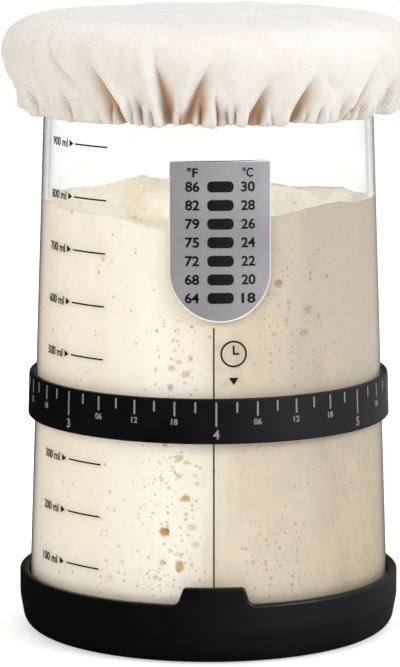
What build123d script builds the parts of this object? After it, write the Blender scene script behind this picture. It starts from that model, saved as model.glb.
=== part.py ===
from build123d import *
from math import cos, degrees, radians, sin
import os

# A sourdough starter jar. A tapered glass jar stands in a silicone base, a silicone band turns round
# the glass to show when the starter was fed, a stick-on thermometer and volume marks show on the
# front, and a gathered cloth cover closes the mouth.
# Sizes are in millimetres and +Z is up. The origin lies under the middle of the base. Angles are in
# degrees, from the front (-Y) towards +X.

# Glass jar
jar_height = 167.5
jar_foot_dia = 100.8
jar_mouth_dia = 89.2
glass_wall = 1.8
glass_floor = 6.5
heel_round = 4.0
inside_corner_round = 9.0
push_up_dia = 74.0
push_up_height = 1.6
bead_height = 4.0
bead_proud = 0.5
bead_slope_height = 1.5
mouth_round = 1.0

# Silicone base
base_wall = 2.4
base_floor = 2.5
base_rim_height = 16.5
base_fit = 0.1
base_heel_lean = 1.6
base_heel_height = 9.0
base_heel_round = 4.5
base_side_round = 12.0
base_inside_round = 3.2
base_rim_round = 0.8
tab_height = 4.8
tab_top_width = 16.4
tab_root_width = 19.6
tab_shoulder_round = 1.9
tab_corner_round = 1.3

# Feeding band
band_below_strip = 20.7
band_height = 12.2
band_thickness = 1.7
band_fit = 0.2
band_round = 0.55
band_days = 7
ticks_per_day = 8
tick_width = 0.5
tick_proud = 0.08
tick_drop = 0.8
day_tick_length = 6.5
six_hour_tick_length = 3.8
three_hour_tick_length = 2.8
band_start_angle = 0.7

# Printing on the glass
print_thickness = 0.06
line_width = 0.42
mark_count = 9
first_mark_rise = 14.75
last_mark_drop = 31.85
mark_length = 12.4
mark_angle = -45.7
arrow_angle = -55.6
arrow_length = 1.8
arrow_height = 1.9
index_line_tuck = 1.8
index_line_gap = 1.9

# Thermometer strip
strip_width = 26.6
strip_height = 42.3
strip_drop = 34.8
strip_angle = 2.2
strip_thickness = 0.25
strip_corner_round = 0.5
window_temperatures = (30, 28, 26, 24, 22, 20, 18)
window_width = 7.0
window_height = 2.9
window_round = 1.2
window_thickness = 0.08
first_window_drop = 6.5
window_pitch = 4.95

# Starter. Each rise of its surface is a ball: places and radius are shares of the jar's inside
# radius, and crests are shares of the starter's depth.
starter_headspace = 52.5
starter_lump_shares = (
    (-0.36, 0.02, 1.078, 0.86),
    (0.40, 0.22, 1.052, 0.74),
    (0.62, -0.20, 1.036, 0.46),
    (-0.62, -0.40, 1.030, 0.44),
    (0.06, -0.52, 1.022, 0.56),
    (-0.14, 0.66, 1.054, 0.60),
    (0.76, 0.36, 1.040, 0.34),
    (-0.80, 0.22, 1.038, 0.38),
)

# Cloth cover
cover_drop = 26.2
cover_rim_gap = 0.3
cloth_thickness = 1.0
cover_bulge = 9.69
cover_shoulder_height = 8.2
shoulder_round_share = 0.98
shoulder_inside_round_share = 0.8
casing_height = 6.2
casing_gap = 0.35
fold_count = 26
fold_depth_share = 0.475
fold_shift_share = 0.24
fold_shift_turns = 2.1
fold_second_turns = 5.3
short_fold_share = 0.5
long_fold_turns = 1.9
elastic_width = 4.0
elastic_thickness = 0.7
elastic_drop = 1.1
# Rings of the gathered wall, as shares of the wall's height, of the cover's bulge and of the folds' depth
fold_ring_shares = (
    (0.00, 0.456, 0.68),
    (0.09, 0.668, 1.00),
    (0.28, 0.782, 0.92),
    (0.52, 0.897, 0.66),
    (0.78, 0.977, 0.28),
    (1.00, 1.000, 0.00),
)

# Heights worked out from the sizes above
foot_z = base_floor
mouth_z = foot_z + jar_height
inside_floor_z = foot_z + glass_floor
bead_low = mouth_z - bead_height
tab_top = base_rim_height + tab_height
first_mark_z = inside_floor_z + first_mark_rise
mark_pitch = (mouth_z - last_mark_drop - first_mark_z) / (mark_count - 1)
strip_top = mouth_z - strip_drop
strip_tip = strip_top - strip_height
band_top = strip_tip - band_below_strip
band_low = band_top - band_height
starter_level = mouth_z - starter_headspace
cloth_under_z = mouth_z + cover_rim_gap
cover_top = cloth_under_z + cloth_thickness
hem_z = cover_top - cover_drop
shoulder_z = cover_top - cover_shoulder_height
glass_taper = (jar_foot_dia - jar_mouth_dia) / 2 / jar_height


def glass_radius(z, gap=0):
    # Radius of the outside of the glass at a height, or of a surface that lies a gap outside it
    return jar_foot_dia / 2 - glass_taper * (z - foot_z) + gap


# Radii worked out from the sizes above. The base clears the widest glass inside it, and the hem
# clears the bead at the mouth.
bead_radius = glass_radius(mouth_z, bead_proud)
base_bore_radius = max(glass_radius(foot_z), glass_radius(tab_top, print_thickness)) + base_fit
base_radius = base_bore_radius + base_wall
band_outside = band_fit + band_thickness
hem_bore_radius = max(glass_radius(hem_z), bead_radius) + casing_gap
cover_radius = hem_bore_radius + cover_bulge
fold_depth = cover_bulge * fold_depth_share
overrun = jar_foot_dia + jar_mouth_dia


def turned(*corners):
    # Solid of revolution about Z. Each corner is its radius, its height and its rounding.
    points = [(radius, height) for radius, height, rounding in corners]
    roundings = [rounding for radius, height, rounding in corners]
    outline = FilletPolyline(points, radius=roundings, close=True)
    return revolve(Plane.XZ * make_face(outline), Axis.Z)


def sleeve(low, high, inner_gap, outer_gap, rounding=0, sweep=360):
    # Ring that follows the taper of the glass, between two gaps outside it
    outline = FilletPolyline(
        (glass_radius(low, inner_gap), low),
        (glass_radius(low, outer_gap), low),
        (glass_radius(high, outer_gap), high),
        (glass_radius(high, inner_gap), high),
        radius=rounding,
        close=True,
    )
    return revolve(Plane.XZ * make_face(outline), Axis.Z, revolution_arc=sweep)


def around(shape, angle):
    # Turns a shape that was made at the front to its place round the jar
    return Rot(0, 0, angle) * shape


def bar(angle, width, low, high, inner_gap, outer_gap):
    # Flat bar on the taper, centred on an angle
    sweep = degrees(width / glass_radius((low + high) / 2, outer_gap))
    start_of_sweep = 90
    return around(sleeve(low, high, inner_gap, outer_gap, sweep=sweep), angle - sweep / 2 - start_of_sweep)


def film(outline, low, high, angle, inner_gap, outer_gap):
    # Flat outline, seen from the front, cut out of a sleeve
    cutter = extrude(Plane.XZ * make_face(outline), overrun)
    return around(sleeve(low, high, inner_gap, outer_gap) & cutter, angle)


def jar_inside(top):
    # The space inside the glass, up to a height
    return turned(
        (0, inside_floor_z, 0),
        (glass_radius(inside_floor_z, -glass_wall), inside_floor_z, inside_corner_round),
        (glass_radius(top, -glass_wall), top, 0),
        (0, top, 0),
    )


def glass_jar():
    outside = turned(
        (0, foot_z, 0),
        (jar_foot_dia / 2, foot_z, heel_round),
        (glass_radius(bead_low - bead_slope_height), bead_low - bead_slope_height, 0),
        (bead_radius, bead_low, mouth_round),
        (bead_radius, mouth_z, mouth_round),
        (0, mouth_z, 0),
    )
    push_up = turned(
        (0, foot_z - push_up_height, 0),
        (push_up_dia / 2, foot_z - push_up_height, 0),
        (push_up_dia / 2 - push_up_height, foot_z + push_up_height, push_up_height),
        (0, foot_z + push_up_height, 0),
    )
    jar = outside - jar_inside(mouth_z) - push_up
    mouth_edges = jar.edges().filter_by(GeomType.CIRCLE).filter_by(
        lambda edge: edge.center().Z > mouth_z - bead_proud and edge.radius < glass_radius(mouth_z)
    )
    return fillet(mouth_edges, mouth_round)


def silicone_base():
    # A shallow cup. Its wall is cut down to the rim, all but the tab at the front.
    cut_top = tab_top + tab_height
    cup = turned(
        (0, 0, 0),
        (base_radius - base_heel_lean, 0, base_heel_round),
        (base_radius, base_heel_height, base_side_round),
        (base_radius, cut_top, 0),
        (base_bore_radius, cut_top, 0),
        (base_bore_radius, base_floor, base_inside_round),
        (0, base_floor, 0),
    )
    above_rim = FilletPolyline(
        (-overrun, base_rim_height),
        (-tab_root_width / 2, base_rim_height),
        (-tab_top_width / 2, tab_top),
        (tab_top_width / 2, tab_top),
        (tab_root_width / 2, base_rim_height),
        (overrun, base_rim_height),
        (overrun, overrun),
        (-overrun, overrun),
        radius=(0, tab_shoulder_round, tab_corner_round, tab_corner_round, tab_shoulder_round, 0, 0, 0),
        close=True,
    )
    front_cut = extrude(Plane.XZ * make_face(above_rim), overrun)
    back_cut = Pos(0, 0, base_rim_height) * Box(
        2 * overrun, overrun, overrun, align=(Align.CENTER, Align.MIN, Align.MIN)
    )
    cup = cup - front_cut - back_cut
    rim_edges = cup.edges().filter_by(lambda edge: edge.center().Z > base_rim_height - base_rim_round)
    return fillet([edge for edge in rim_edges if edge.geom_type != GeomType.LINE], base_rim_round)


def feeding_band():
    return sleeve(band_low, band_top, band_fit, band_outside, rounding=band_round)


def band_ticks(length, steps):
    # Ticks of one length, at the given steps of every day
    top = band_top - tick_drop
    step_angle = 360 / band_days / ticks_per_day
    return [
        bar(
            band_start_angle + step_angle * (day * ticks_per_day + step),
            tick_width,
            top - length,
            top,
            band_outside,
            band_outside + tick_proud,
        )
        for day in range(band_days)
        for step in steps
    ]


def volume_mark(height):
    # A level line with an arrowhead beside it
    line = bar(mark_angle, mark_length, height - line_width / 2, height + line_width / 2, 0, print_thickness)
    half = arrow_height / 2
    triangle = Polyline(
        (-arrow_length / 2, height - half),
        (arrow_length / 2, height),
        (-arrow_length / 2, height + half),
        close=True,
    )
    arrow = film(triangle, height - arrow_height, height + arrow_height, arrow_angle, 0, print_thickness)
    return [line, arrow]


def index_line():
    low = tab_top - index_line_tuck
    return bar(0, line_width, low, strip_tip - index_line_gap, 0, print_thickness)


def thermometer_strip():
    # A tongue with a round lower end
    half = strip_width / 2
    sides = FilletPolyline(
        (-half, strip_tip + half),
        (-half, strip_top),
        (half, strip_top),
        (half, strip_tip + half),
        radius=strip_corner_round,
    )
    end = ThreePointArc((-half, strip_tip + half), (0, strip_tip), (half, strip_tip + half))
    outline = Wire(sides.edges() + end.edges())
    return film(outline, strip_tip - half, strip_top + half, strip_angle, 0, strip_thickness)


def thermometer_window(row):
    height = strip_top - first_window_drop - row * window_pitch
    outline = Pos(0, height) * RectangleRounded(window_width, window_height, window_round)
    outside = strip_thickness + window_thickness
    low = height - window_height
    high = height + window_height
    return film(outline.wire(), low, high, strip_angle, strip_thickness, outside)


def starter_dough():
    inside_radius = glass_radius(starter_level, -glass_wall)
    depth = starter_level - inside_floor_z
    filling = jar_inside(starter_level)
    for x_share, y_share, crest_share, radius_share in starter_lump_shares:
        radius = radius_share * inside_radius
        crest = inside_floor_z + crest_share * depth
        filling += Pos(x_share * inside_radius, y_share * inside_radius, crest - radius) * Sphere(radius)
    return filling & jar_inside(mouth_z)


def polar(radius, angle, height):
    return (radius * sin(radians(angle)), -radius * cos(radians(angle)), height)


def fold_angle(index):
    # Gathers are uneven, so each valley is shifted a little from an even spacing
    shift = sin(fold_shift_turns * index) + sin(fold_second_turns * index) / 2
    return 360 / fold_count * (index + fold_shift_share * shift)


def fold_ring(height_share, radius_share, depth_share):
    # One ring of the gathered wall: an arc over each fold, from valley to valley
    height = hem_z + height_share * (shoulder_z - hem_z)
    crest_radius = hem_bore_radius + radius_share * cover_bulge
    arcs = []
    for index in range(fold_count):
        ends = []
        for valley in (index, index + 1):
            long_share = sin(long_fold_turns * (valley % fold_count)) ** 2
            valley_share = short_fold_share + (1 - short_fold_share) * long_share
            turn = 360 if valley == fold_count else 0
            angle = fold_angle(valley % fold_count) + turn
            ends.append((crest_radius - fold_depth * depth_share * valley_share, angle))
        middle = (ends[0][1] + ends[1][1]) / 2
        start, end = [polar(radius, angle, height) for radius, angle in ends]
        arcs.append(ThreePointArc(start, polar(crest_radius, middle, height), end))
    return Wire(arcs)


def cover_cloth():
    # A flat top and a round shoulder over a gathered wall, hollow, with the elastic in its hem
    wall = Solid.make_loft([fold_ring(*shares) for shares in fold_ring_shares], ruled=True)
    shoulder = turned(
        (0, shoulder_z, 0),
        (cover_radius, shoulder_z, 0),
        (cover_radius, cover_top, cover_shoulder_height * shoulder_round_share),
        (0, cover_top, 0),
    )
    casing_top = hem_z + casing_height
    inner_radius = cover_radius - cloth_thickness
    room = turned(
        (0, hem_z - casing_height, 0),
        (hem_bore_radius, hem_z - casing_height, 0),
        (hem_bore_radius, casing_top, 0),
        (inner_radius - fold_depth, casing_top + casing_height / 2, 0),
        (inner_radius, shoulder_z, 0),
        (inner_radius, cloth_under_z, cover_shoulder_height * shoulder_inside_round_share),
        (0, cloth_under_z, 0),
    )
    return wall + shoulder - room - hem_elastic()


def hem_elastic():
    low = hem_z + elastic_drop
    high = low + elastic_width
    return turned(
        (hem_bore_radius, low, 0),
        (hem_bore_radius + elastic_thickness, low, 0),
        (hem_bore_radius + elastic_thickness, high, 0),
        (hem_bore_radius, high, 0),
    )


nodes = {
    "silicone_base": silicone_base(),
    "glass_jar": glass_jar(),
    "starter_dough": starter_dough(),
    "index_line": index_line(),
    "thermometer_strip": thermometer_strip(),
    "feeding_band": feeding_band(),
    "band_day_ticks": band_ticks(day_tick_length, [0]),
    "band_six_hour_ticks": band_ticks(six_hour_tick_length, [2, 4, 6]),
    "band_three_hour_ticks": band_ticks(three_hour_tick_length, [1, 3, 5, 7]),
    "cover_cloth": cover_cloth(),
    "hem_elastic": hem_elastic(),
}
for row, temperature in enumerate(window_temperatures):
    nodes[f"thermometer_window_{temperature}"] = thermometer_window(row)
for number in range(mark_count):
    nodes[f"volume_mark_{(number + 1) * 100}"] = volume_mark(first_mark_z + number * mark_pitch)

os.makedirs("parts", exist_ok=True)
for name, shape in nodes.items():
    solids = shape if isinstance(shape, list) else [shape]
    export_step(Compound([solid for item in solids for solid in item.solids()]), f"parts/{name}.step")
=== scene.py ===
import bpy
import math
import numpy as np
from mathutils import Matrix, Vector


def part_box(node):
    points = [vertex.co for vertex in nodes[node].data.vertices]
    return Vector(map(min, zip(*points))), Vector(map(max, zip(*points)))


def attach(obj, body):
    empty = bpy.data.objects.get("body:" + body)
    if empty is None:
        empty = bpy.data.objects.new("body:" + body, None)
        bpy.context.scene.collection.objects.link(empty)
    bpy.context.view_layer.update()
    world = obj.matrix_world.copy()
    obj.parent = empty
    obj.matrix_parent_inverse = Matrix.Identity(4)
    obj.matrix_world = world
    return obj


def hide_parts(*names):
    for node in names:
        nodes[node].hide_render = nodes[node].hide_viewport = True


# Sourdough starter jar: clear glass in a silicone base, with a feeding band, a thermometer and a cloth cover.
# Metres, +Z up. Angles are in degrees from the front (-Y) towards +X.

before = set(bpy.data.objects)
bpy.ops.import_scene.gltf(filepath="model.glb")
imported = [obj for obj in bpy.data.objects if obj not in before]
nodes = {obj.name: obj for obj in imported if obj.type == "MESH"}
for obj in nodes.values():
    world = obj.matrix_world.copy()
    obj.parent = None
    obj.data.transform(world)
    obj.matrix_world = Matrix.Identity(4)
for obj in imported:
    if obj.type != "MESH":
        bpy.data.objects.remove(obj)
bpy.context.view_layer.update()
mm = 0.001

# The printed line runs down the glass, so its two ends give the taper of the glass
linePoints = np.array([corner.co[:] for corner in nodes["index_line"].data.vertices])
lineRadii = np.hypot(linePoints[:, 0], linePoints[:, 1])
lineLow, lineTop = linePoints[:, 2].min(), linePoints[:, 2].max()
lowRadius = lineRadii[linePoints[:, 2] < lineLow + 0.1 * mm].min()
topRadius = lineRadii[linePoints[:, 2] > lineTop - 0.1 * mm].min()


def glassRadius(z):
    # outside of the glass at a height
    return lowRadius + (topRadius - lowRadius) * (z - lineLow) / (lineTop - lineLow)


def roundJar(radius, angle, z):
    # points from radius, angle in radians and height
    return np.stack([radius * np.sin(angle), -radius * np.cos(angle), z * np.ones_like(angle)], axis=-1)


def roundAngles(count):
    return np.arange(count) * 2 * math.pi / count


def halfTurn(angle):
    # the same angle, within half a turn either way
    return (angle + math.pi) % (2 * math.pi) - math.pi


def addObject(name, data):
    thing = bpy.data.objects.new(name, data)
    bpy.context.collection.objects.link(thing)
    return thing


def plainMesh(thing):
    # what an object evaluates to, as a plain mesh; the object itself goes
    mesh = bpy.data.meshes.new_from_object(thing.evaluated_get(bpy.context.evaluated_depsgraph_get()))
    bpy.data.objects.remove(thing)
    return mesh


def makePiece(name, points, faces, material, smooth=True):
    mesh = bpy.data.meshes.new(name)
    mesh.from_pydata([tuple(point) for point in points], [], faces)
    mesh.materials.append(material)
    mesh.polygons.foreach_set("use_smooth", [smooth] * len(mesh.polygons))
    mesh.update()
    return addObject(name, mesh)


def ringFaces(rows, columns):
    # quads between closed rows of points, and a fan to the single point before the first row
    faces = []
    for row in range(rows - 1):
        a, b = 1 + row * columns, 1 + (row + 1) * columns
        for column in range(columns):
            beside = (column + 1) % columns
            faces.append((a + column, b + column, b + beside, a + beside))
    fan = [(0, 1 + column, 1 + (column + 1) % columns) for column in range(columns)]
    return fan + faces


def addPointValues(piece, name, values):
    layer = piece.data.attributes.new(name, "FLOAT", "POINT")
    layer.data.foreach_set("value", np.asarray(values, dtype=np.float32))


def ripples(x, y, longest, shortest, count, seed):
    # smooth unevenness, about -1 to 1, from waves of mixed length and direction
    dice = np.random.default_rng(seed)
    total = np.zeros_like(x)
    for wave in range(count):
        length = shortest * (longest / shortest) ** dice.random()
        heading, phase = dice.random(2) * 2 * math.pi
        along = x * math.cos(heading) + y * math.sin(heading)
        total += np.sin(along * 2 * math.pi / length + phase)
    return total / math.sqrt(count / 2)


def smoothStep(value):
    share = np.clip(value, 0, 1)
    return share * share * (3 - 2 * share)


# Small helpers for materials
def shade(hexText):
    # sRGB hex to linear RGBA
    parts = [int(hexText[i:i + 2], 16) / 255 for i in (1, 3, 5)]
    return [p / 12.92 if p <= 0.04045 else ((p + 0.055) / 1.055) ** 2.4 for p in parts] + [1.0]


def addNode(tree, kind, settings):
    # A kind with no prefix is a shader node. Sockets start with a capital or are numbers, properties start
    # small. An output as a value is linked, and a node by its first output in use.
    node = tree.nodes.new(kind if "Node" in kind else "ShaderNode" + kind)
    for name, value in settings.items():
        if isinstance(value, bpy.types.Node):
            value = next(output for output in value.outputs if output.enabled)
        if isinstance(value, bpy.types.NodeSocket):
            tree.links.new(value, node.inputs[name])
        elif isinstance(name, int) or name[0].isupper():
            node.inputs[name].default_value = value
        else:
            setattr(node, name, value)
    return node


def makeMaterial(name, surfaceOf, look):
    # surfaceOf builds the nodes in the material's tree and returns the one that gives the surface
    material = bpy.data.materials.new(name)
    material.use_nodes = True
    tree = material.node_tree
    tree.nodes.clear()
    addNode(tree, "OutputMaterial", {"Surface": surfaceOf(tree, look)})
    return material


def ends(label, pair):
    # the two settings of a node's range
    return {label + " Min": pair[0], label + " Max": pair[1]}


def eitherRay(tree, first, second):
    # 1 for rays of either kind, 0 for all others
    path = addNode(tree, "LightPath", {})
    return addNode(tree, "Math", {"operation": "MAXIMUM", 0: path.outputs[first], 1: path.outputs[second]})


def paint(tree, fac, colours):
    # colour ramp from (place, hex) pairs
    colours = list(colours)
    ramp = addNode(tree, "ValToRGB", {"Fac": fac})
    while len(ramp.color_ramp.elements) < len(colours):
        ramp.color_ramp.elements.new(0.5)
    for element, (place, hexText) in zip(ramp.color_ramp.elements, colours):
        element.position = place
        element.color = shade(hexText)
    return ramp


# Silicone: moulded and matt, with a fine satin grain that spreads the highlights
siliconeLook = {
    "colour": "#050607",
    "paleColour": "#0B0C0F",
    "roughness": (0.36, 0.5),
    "ior": 1.41,
    "specular": 0.56,
    "grain": 0.3 * mm,
    "grainHeight": 0.012 * mm,
    "cloud": 18 * mm,
    "cloudEnds": (0.35, 0.7),      # the noise at which the colour is the dark and the pale one
}


def mouldedSilicone(tree, look):
    place = addNode(tree, "TexCoord", {}).outputs["Object"]
    cloud = addNode(tree, "TexNoise", {"Vector": place, "Scale": 1 / look["cloud"], "Detail": 4.0})
    grain = addNode(tree, "TexNoise", {"Vector": place, "Scale": 1 / look["grain"], "Detail": 2.0})
    colour = paint(tree, cloud, zip(look["cloudEnds"], (look["colour"], look["paleColour"])))
    bump = addNode(tree, "Bump", {"Height": grain, "Distance": look["grainHeight"], "Strength": 1.0})
    roughness = addNode(tree, "MapRange", {"Value": cloud, **ends("To", look["roughness"])})
    return addNode(tree, "BsdfPrincipled", {
        "Base Color": colour, "Roughness": roughness, "IOR": look["ior"],
        "Specular IOR Level": look["specular"], "Normal": bump})


# Glass: pressed soda-lime glass, clear, and painted grey to near black where the eye looks along its wall, as a
# painted dark reflection at its edges. Lamps shine through it unbent, so that what is inside is lit.
glassLook = {
    "colour": "#FDFEFE",
    # share of the turn from face on to edge on, and the painted dark reflection there
    "edges": ((0.76, "#FDFEFE"), (0.86, "#C0C6C6"), (0.93, "#101416")),
    "ior": 1.5,
    "wave": 22 * mm,               # the slow waviness of a pressed wall
    "waveHeight": 0.007 * mm,
}


def pressedGlass(tree, look):
    place = addNode(tree, "TexCoord", {}).outputs["Object"]
    wave = addNode(tree, "TexNoise", {"Vector": place, "Scale": 1 / look["wave"], "Detail": 1.0})
    bump = addNode(tree, "Bump", {"Height": wave, "Distance": look["waveHeight"], "Strength": 1.0})
    grazing = addNode(tree, "LayerWeight", {"Blend": 0.5})
    # painted dark reflection towards the edges, which also tints the glass's reflections
    colour = paint(tree, grazing.outputs["Facing"], [(0.0, look["colour"]), *look["edges"]])
    surface = addNode(tree, "BsdfPrincipled", {
        "Base Color": colour, "Specular Tint": colour, "Roughness": 0.0, "IOR": look["ior"],
        "Transmission Weight": 1.0, "Normal": bump})
    clear = addNode(tree, "BsdfTransparent", {"Color": shade(look["colour"])})
    unseen = eitherRay(tree, "Is Shadow Ray", "Is Diffuse Ray")
    return addNode(tree, "MixShader", {0: unseen, 1: surface, 2: clear})


# Starter: wet, airy flour paste. Painted light makes it paler to the left, with a highlight streak, and painted
# shade makes it darker to the right; where gas has pressed on the wall it is ochre to orange brown as painted
# shade.
starterLook = {
    # colour across the jar, left to right, in millimetres: painted light, a highlight streak at -16, painted
    # shade
    "across": ((-48, "#FDF3E2"), (-30, "#FAF1E2"), (-16, "#FBF5EA"), (-3, "#F1E8D8"), (8, "#D5C8B4"),
               (24, "#BBAD9B"), (48, "#C2B5A4")),
    "uneven": 9 * mm,
    "foot": (25 * mm, 85 * mm),        # the paler foot fades out between these heights
    "footRight": (4 * mm, 26 * mm),    # and begins between these places across
    "footShift": 14 * mm,
    # the top is painted paler, as painted light from above
    "top": "#FFF8E8",
    "paintedTopLightShare": 0.72,
    "stain": "#E9CF96",
    "stainEnds": (0.74, 0.98),         # the noise at which a stain begins and is full
    "stainMost": (0.24, 0.6),          # its share at most, on the side and on the top
    # painted shade in the bubbles' hollows: small, middle and large
    "smallBubbleShade": "#7C6845",
    "middleBubbleShade": "#B3963C",
    "largeBubbleShade": "#C28E40",
    "bubbleEnds": (0.55, 0.85),        # the value at which a bubble's painted shade has its middle and its darkest colour
    "patch": 26 * mm,
    "curd": 5 * mm,
    "curdShare": 0.45,                 # how much the curds break up the stains
    "mottle": 0.95,                    # how dark it is between the curds
    "mottleEnds": (0.3, 0.7),          # the noise over which that changes
    "dotSpacing": 1.2 * mm,
    "dotRadius": (0.10, 0.42),         # as a share of the spacing
    "dotEdge": 0.09,
    "dotStrength": (0.12, 0.52),
    "grain": 0.7 * mm,
    "grainHeight": 0.05 * mm,
    "roughness": 0.42,
    "ior": 1.4,
    "specular": 0.4,
}


def wetStarter(tree, look):
    place = addNode(tree, "TexCoord", {}).outputs["Object"]
    # patches stretched upright, as the paste rose along the glass
    upright = addNode(tree, "Mapping", {"Vector": place, "Scale": (1.0, 1.0, 0.4)})
    patch = addNode(tree, "TexNoise", {
        "Vector": upright, "Scale": 1 / look["patch"], "Detail": 5.0, "Distortion": 0.6})
    curd = addNode(tree, "TexNoise", {"Vector": place, "Scale": 1 / look["curd"], "Detail": 3.0})
    apart = addNode(tree, "SeparateXYZ", {0: place})
    shift = addNode(tree, "Math", {
        "operation": "MULTIPLY_ADD", 0: patch, 1: 2 * look["uneven"], 2: apart.outputs["X"]})
    # the painted shade on the right is lighter at the foot than higher up
    paler = addNode(tree, "MapRange", {
        "Value": apart.outputs["Z"], **ends("From", look["foot"]), "To Min": -look["footShift"], "To Max": 0.0})
    onRight = addNode(tree, "MapRange", {"Value": apart.outputs["X"], **ends("From", look["footRight"])})
    shift = addNode(tree, "Math", {"operation": "MULTIPLY_ADD", 0: paler, 1: onRight, 2: shift})
    reach = look["across"][-1][0] * mm
    share = addNode(tree, "MapRange", {
        "Value": shift, "From Min": look["uneven"] - reach, "From Max": look["uneven"] + reach})
    # painted light and a highlight streak on the left, painted shade to the right
    litAndShadedColour = paint(tree, share, [
        ((x * mm + reach) / (2 * reach), hexText) for x, hexText in look["across"]])
    stainShare = addNode(tree, "Math", {"operation": "MULTIPLY_ADD", 0: curd, 1: look["curdShare"], 2: patch})
    crown = addNode(tree, "Attribute", {"attribute_name": "crown"})
    stainMost = addNode(tree, "MapRange", {"Value": crown.outputs["Fac"], **ends("To", look["stainMost"])})
    stainShare = addNode(tree, "MapRange", {
        "Value": stainShare, **ends("From", look["stainEnds"]), "To Max": stainMost})
    # the top is painted paler, as painted light from above
    paintedTopLightShare = addNode(tree, "Math", {"operation": "MULTIPLY", 0: crown.outputs["Fac"], 1: look["paintedTopLightShare"]})
    topLitColour = addNode(tree, "Mix", {"data_type": "RGBA", 0: paintedTopLightShare, 6: litAndShadedColour, 7: shade(look["top"])})
    stained = addNode(tree, "Mix", {"data_type": "RGBA", 0: stainShare, 6: topLitColour, 7: shade(look["stain"])})
    mottle = addNode(tree, "MapRange", {
        "Value": curd, **ends("From", look["mottleEnds"]), "To Min": look["mottle"], "To Max": 1.0})
    mottled = addNode(tree, "Mix", {
        "data_type": "RGBA", "blend_type": "MULTIPLY", 0: 1.0, 6: stained, 7: mottle})
    # the smallest bubbles are spots of painted shade, with size, strength and chance from the cell's random
    # colour
    dots = addNode(tree, "TexVoronoi", {"Vector": place, "Scale": 1 / look["dotSpacing"], "Randomness": 1.0})
    chance = addNode(tree, "SeparateColor", {0: dots.outputs["Color"]})
    size = addNode(tree, "Math", {"operation": "POWER", 0: chance.outputs["Green"], 1: 2.0})
    inner = addNode(tree, "MapRange", {"Value": size, **ends("To", look["dotRadius"])})
    outer = addNode(tree, "Math", {"operation": "ADD", 0: inner, 1: look["dotEdge"]})
    spot = addNode(tree, "MapRange", {
        "Value": dots.outputs["Distance"], "From Min": inner, "From Max": outer, "To Min": 1.0, "To Max": 0.0})
    fizz = addNode(tree, "Attribute", {"attribute_name": "fizz"})
    here = addNode(tree, "Math", {
        "operation": "GREATER_THAN", 0: fizz.outputs["Fac"], 1: chance.outputs["Red"]})
    strength = addNode(tree, "MapRange", {"Value": chance.outputs["Blue"], **ends("To", look["dotStrength"])})
    spotHere = addNode(tree, "Math", {"operation": "MULTIPLY", 0: spot, 1: here})
    spotShare = addNode(tree, "Math", {"operation": "MULTIPLY", 0: spotHere, 1: strength})
    dotShaded = addNode(tree, "Mix", {
        "data_type": "RGBA", 0: spotShare, 6: mottled, 7: shade(look["smallBubbleShade"])})
    # the large bubbles are darkened ochre to brown, as painted shade in their hollows
    bubbleShade = addNode(tree, "Attribute", {"attribute_name": "bubbleShade"})
    shadeColours = (look["middleBubbleShade"], look["largeBubbleShade"])
    bubbleShadeColour = paint(tree, bubbleShade.outputs["Fac"], zip(look["bubbleEnds"], shadeColours))
    bubbleShaded = addNode(tree, "Mix", {
        "data_type": "RGBA", "blend_type": "MULTIPLY", 0: bubbleShade.outputs["Fac"], 6: dotShaded, 7: bubbleShadeColour})
    grain = addNode(tree, "TexNoise", {"Vector": place, "Scale": 1 / look["grain"], "Detail": 3.0})
    bump = addNode(tree, "Bump", {"Height": grain, "Distance": look["grainHeight"], "Strength": 1.0})
    return addNode(tree, "BsdfPrincipled", {
        "Base Color": bubbleShaded, "Roughness": look["roughness"], "IOR": look["ior"],
        "Specular IOR Level": look["specular"], "Normal": bump})


# Thin finishes, each with its colour, roughness and grain
thinLooks = {
    "inkBlackScreenPrinted": ("#0D0C0C", 0.4, 0.4 * mm),      # ink fired on the glass: black, half matt
    "inkWhiteScreenPrinted": ("#88898D", 0.55, 0.4 * mm),     # silicone ink: matt, greyed by what is under it
    "inkWindowLiquidCrystal": ("#17181A", 0.25, 0.8 * mm),    # liquid crystal under film: dark and glossy
    "filmRimClearPolyester": ("#F2F2F0", 0.3, 0.8 * mm),      # cut edge of clear film: it catches the light
    "threadCottonSpun": ("#E4DBCD", 0.85, 0.3 * mm),          # spun sewing thread: cream and matt
}


def thinFinish(tree, look):
    # even in colour, a little uneven in tone and gloss where it lies thin
    hexText, roughness, grain = look
    place = addNode(tree, "TexCoord", {}).outputs["Object"]
    speck = addNode(tree, "TexNoise", {"Vector": place, "Scale": 1 / grain, "Detail": 2.0})
    thin = addNode(tree, "MapRange", {"Value": speck, "To Min": 0.86, "To Max": 1.0})
    colour = addNode(tree, "Mix", {
        "data_type": "RGBA", "blend_type": "MULTIPLY", 0: 1.0, 6: shade(hexText), 7: thin})
    rough = addNode(tree, "MapRange", {"Value": speck, "To Min": roughness - 0.08, "To Max": roughness + 0.08})
    return addNode(tree, "BsdfPrincipled", {
        "Base Color": colour, "Roughness": rough, "Specular IOR Level": 0.35})


filmLook = {
    "pale": "#B2B2B5",
    "dark": "#8C8C91",
    "drift": 30 * mm,
    "driftEnds": (0.45, 0.8),      # the noise at which the film is darkest and palest
    "flake": 0.25 * mm,
    "flakeShare": 0.25,
    "metallic": 0.3,
    "roughness": 0.45,
}


def silverFilm(tree, look):
    # printed polyester film with aluminium flake: satin grey that drifts from pale to darker
    place = addNode(tree, "TexCoord", {}).outputs["Object"]
    drift = addNode(tree, "TexNoise", {"Vector": place, "Scale": 1 / look["drift"], "Detail": 1.0})
    fleck = addNode(tree, "TexNoise", {"Vector": place, "Scale": 1 / look["flake"], "Detail": 2.0})
    share = addNode(tree, "Math", {"operation": "MULTIPLY_ADD", 0: fleck, 1: look["flakeShare"], 2: drift})
    colour = paint(tree, share, zip(look["driftEnds"], (look["dark"], look["pale"])))
    return addNode(tree, "BsdfPrincipled", {
        "Base Color": colour, "Metallic": look["metallic"], "Roughness": look["roughness"]})


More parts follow.
